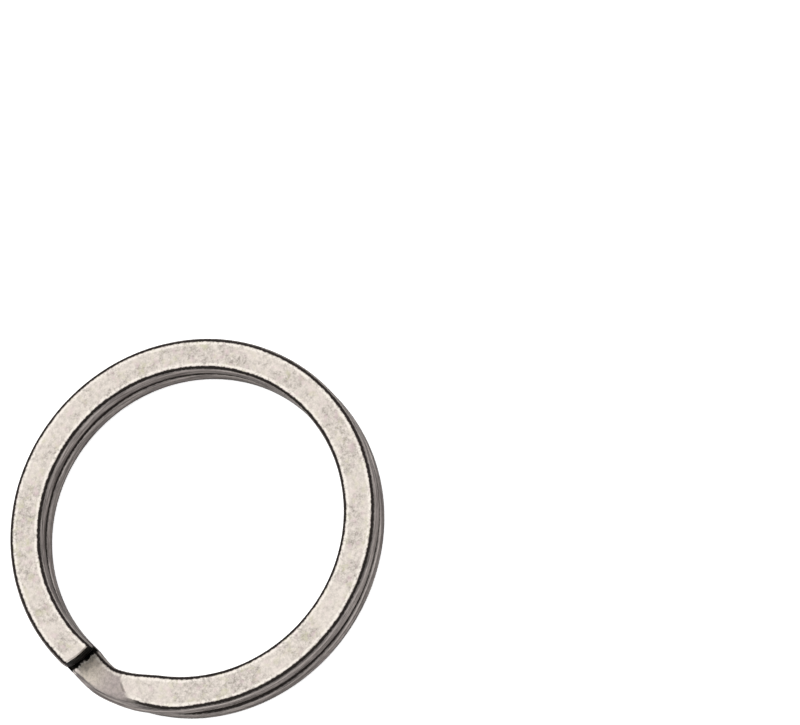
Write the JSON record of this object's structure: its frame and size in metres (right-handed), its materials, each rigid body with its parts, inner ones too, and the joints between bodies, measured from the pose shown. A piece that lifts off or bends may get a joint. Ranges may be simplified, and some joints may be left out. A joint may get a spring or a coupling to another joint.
{
  "type": "split key ring",
  "caption": "Split key ring of flat wire wound into two closed turns, whose free ends are prised apart to thread a key onto it.",
  "frame": {"origin": "the ring's centre, on the face that it rests on", "axes": "+Z along the ring's axis, away from the face it rests on; the crossover between the two turns is on the -Y side"},
  "size_m": [0.032, 0.032, 0.0033],
  "materials": {
    "wire_metal": "tumbled titanium: warm light grey, satin, finely mottled, with bright edges"
  },
  "bodies": {
    "lower_turn_end": {"lower_pry_end": "wire_metal", "lower_turn_09": "wire_metal", "lower_turn_08": "wire_metal"},
    "lower_turn_middle": {"lower_turn_07": "wire_metal", "lower_turn_06": "wire_metal"},
    "lower_turn_near": {"lower_turn_05": "wire_metal", "lower_turn_04": "wire_metal"},
    "closed_turns": {"lower_turn_03": "wire_metal", "lower_turn_02": "wire_metal", "lower_turn_01": "wire_metal", "crossover": "wire_metal", "upper_turn_01": "wire_metal", "upper_turn_02": "wire_metal", "upper_turn_03": "wire_metal"},
    "upper_turn_near": {"upper_turn_04": "wire_metal", "upper_turn_05": "wire_metal"},
    "upper_turn_middle": {"upper_turn_06": "wire_metal", "upper_turn_07": "wire_metal"},
    "upper_turn_end": {"upper_turn_08": "wire_metal", "upper_turn_09": "wire_metal", "upper_pry_end": "wire_metal"}
  },
  "joints": [
    {"name": "lower_turn_bends_end", "type": "hinge", "parent": "lower_turn_end", "child": "lower_turn_middle", "pos_m": [0.0135, 0.00556, 0.0008], "axis": [-0.8107, 0.5854, 0], "range_deg": [0, 2.24]},
    {"name": "lower_turn_bends_middle", "type": "hinge", "parent": "lower_turn_middle", "child": "lower_turn_near", "pos_m": [0, 0.0146, 0.0008], "axis": [-0.9954, -0.0954, 0], "range_deg": [0, 2.21]},
    {"name": "lower_turn_opens", "type": "hinge", "parent": "lower_turn_near", "child": "closed_turns", "pos_m": [-0.0135, 0.00556, 0.0008], "axis": [-0.56, -0.8285, 0], "range_deg": [0, 2.38], "stiffness_Nm_per_rad": 0.04},
    {"name": "upper_turn_opens", "type": "hinge", "parent": "closed_turns", "child": "upper_turn_near", "pos_m": [0.0135, 0.00556, 0.00254], "axis": [-0.56, 0.8285, 0], "range_deg": [0, 2.38], "stiffness_Nm_per_rad": 0.04},
    {"name": "upper_turn_bends_middle", "type": "hinge", "parent": "upper_turn_near", "child": "upper_turn_middle", "pos_m": [0, 0.0146, 0.00254], "axis": [-0.9954, 0.0954, 0], "range_deg": [0, 2.21]},
    {"name": "upper_turn_bends_end", "type": "hinge", "parent": "upper_turn_middle", "child": "upper_turn_end", "pos_m": [-0.0135, 0.00556, 0.00254], "axis": [-0.8107, -0.5854, 0], "range_deg": [0, 2.24]}
  ],
  "couplings": [
    {"joint": "lower_turn_bends_end", "follows": "lower_turn_opens", "ratio": 0.9378},
    {"joint": "lower_turn_bends_middle", "follows": "lower_turn_opens", "ratio": 0.9225},
    {"joint": "upper_turn_bends_middle", "follows": "upper_turn_opens", "ratio": 0.9225},
    {"joint": "upper_turn_bends_end", "follows": "upper_turn_opens", "ratio": 0.9378}
  ]
}
